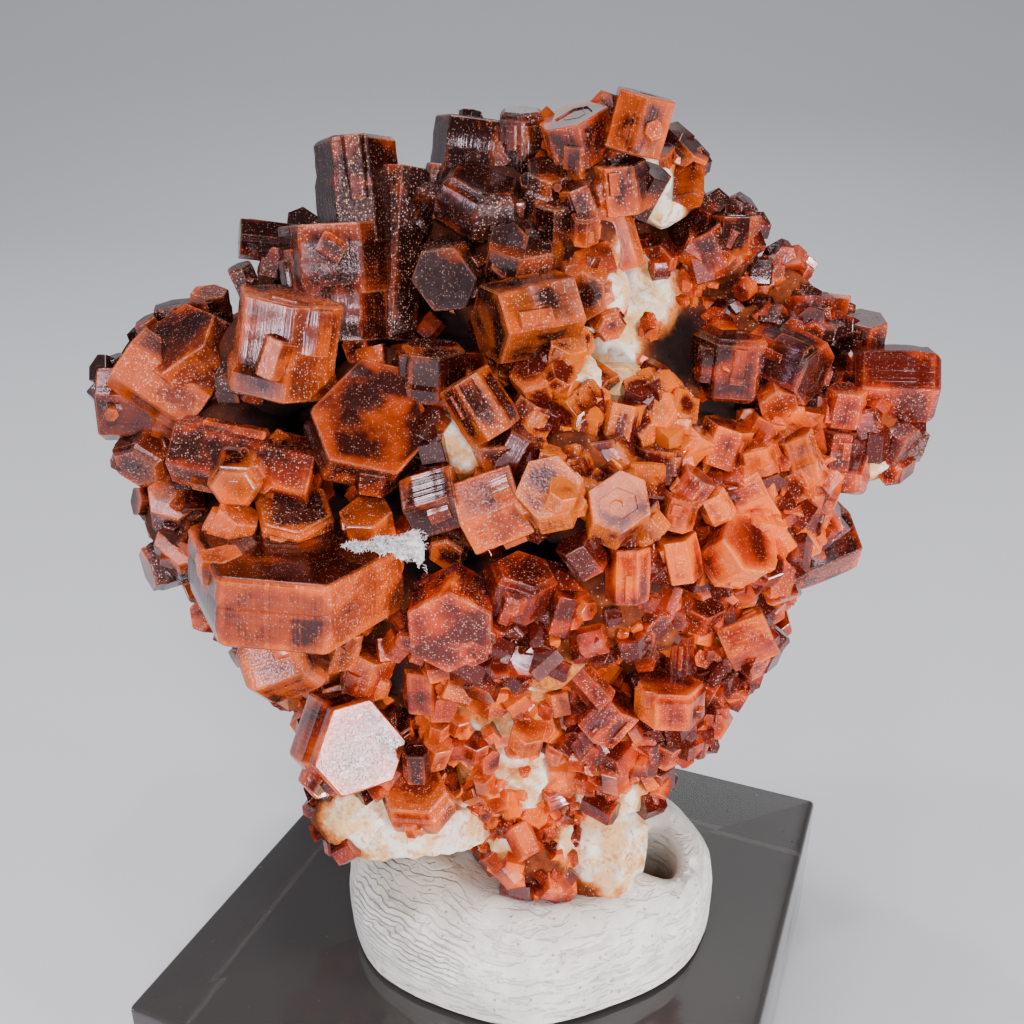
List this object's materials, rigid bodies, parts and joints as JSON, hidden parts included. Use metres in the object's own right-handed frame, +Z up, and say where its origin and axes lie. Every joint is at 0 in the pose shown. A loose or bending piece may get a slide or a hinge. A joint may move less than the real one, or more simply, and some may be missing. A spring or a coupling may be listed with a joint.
{
  "type": "vanadinite on matrix specimen",
  "caption": "Vanadinite specimen: a pale rock coated with stubby six-sided red-orange crystals, fixed with white mineral tack to a small square smoky acrylic display block.",
  "frame": {"origin": "centre of the acrylic block's underside", "axes": "+Z up, -Y towards the viewer of the specimen's crystal face, +X to the viewer's right"},
  "size_m": [0.0433, 0.0428, 0.0578],
  "materials": {
    "matrix": "rough chalky barite and ochre, dull",
    "vanadinite_dark": "resinous to adamantine crystal faces, dark red-brown, thin edges glow orange",
    "vanadinite_red": "resinous to adamantine crystal faces, red-brown, finely pitted, pale rims",
    "vanadinite_orange": "resinous to adamantine crystal faces, bright orange-red, translucent",
    "mineral_tack": "soft off-white putty with pressed finger marks, slight sheen",
    "smoky_acrylic": "polished transparent smoky acrylic",
    "white_fibre": "loose matted white fibre"
  },
  "bodies": {
    "root": {"matrix_rock": "matrix", "crystals_tower": "vanadinite_dark", "crystals_left_wing": "vanadinite_dark", "crystals_big_tabular": "vanadinite_dark", "crystals_left_plates": "vanadinite_red", "crystals_thick_plate": "vanadinite_red", "crystals_lower_left": "vanadinite_red", "crystals_middle_left": "vanadinite_red", "crystals_top_centre": "vanadinite_dark", "crystals_top_right": "vanadinite_red", "crystals_upper_right": "vanadinite_red", "crystals_far_right": "vanadinite_orange", "crystals_right_druse": "vanadinite_orange", "crystals_centre_upper": "vanadinite_orange", "crystals_centre_front": "vanadinite_orange", "crystals_lower_centre": "vanadinite_orange", "crystals_lower_right": "vanadinite_orange", "crystals_back": "vanadinite_dark", "mineral_tack": "mineral_tack", "acrylic_block": "smoky_acrylic", "fluff_tuft": "white_fibre"}
  },
  "joints": []
}
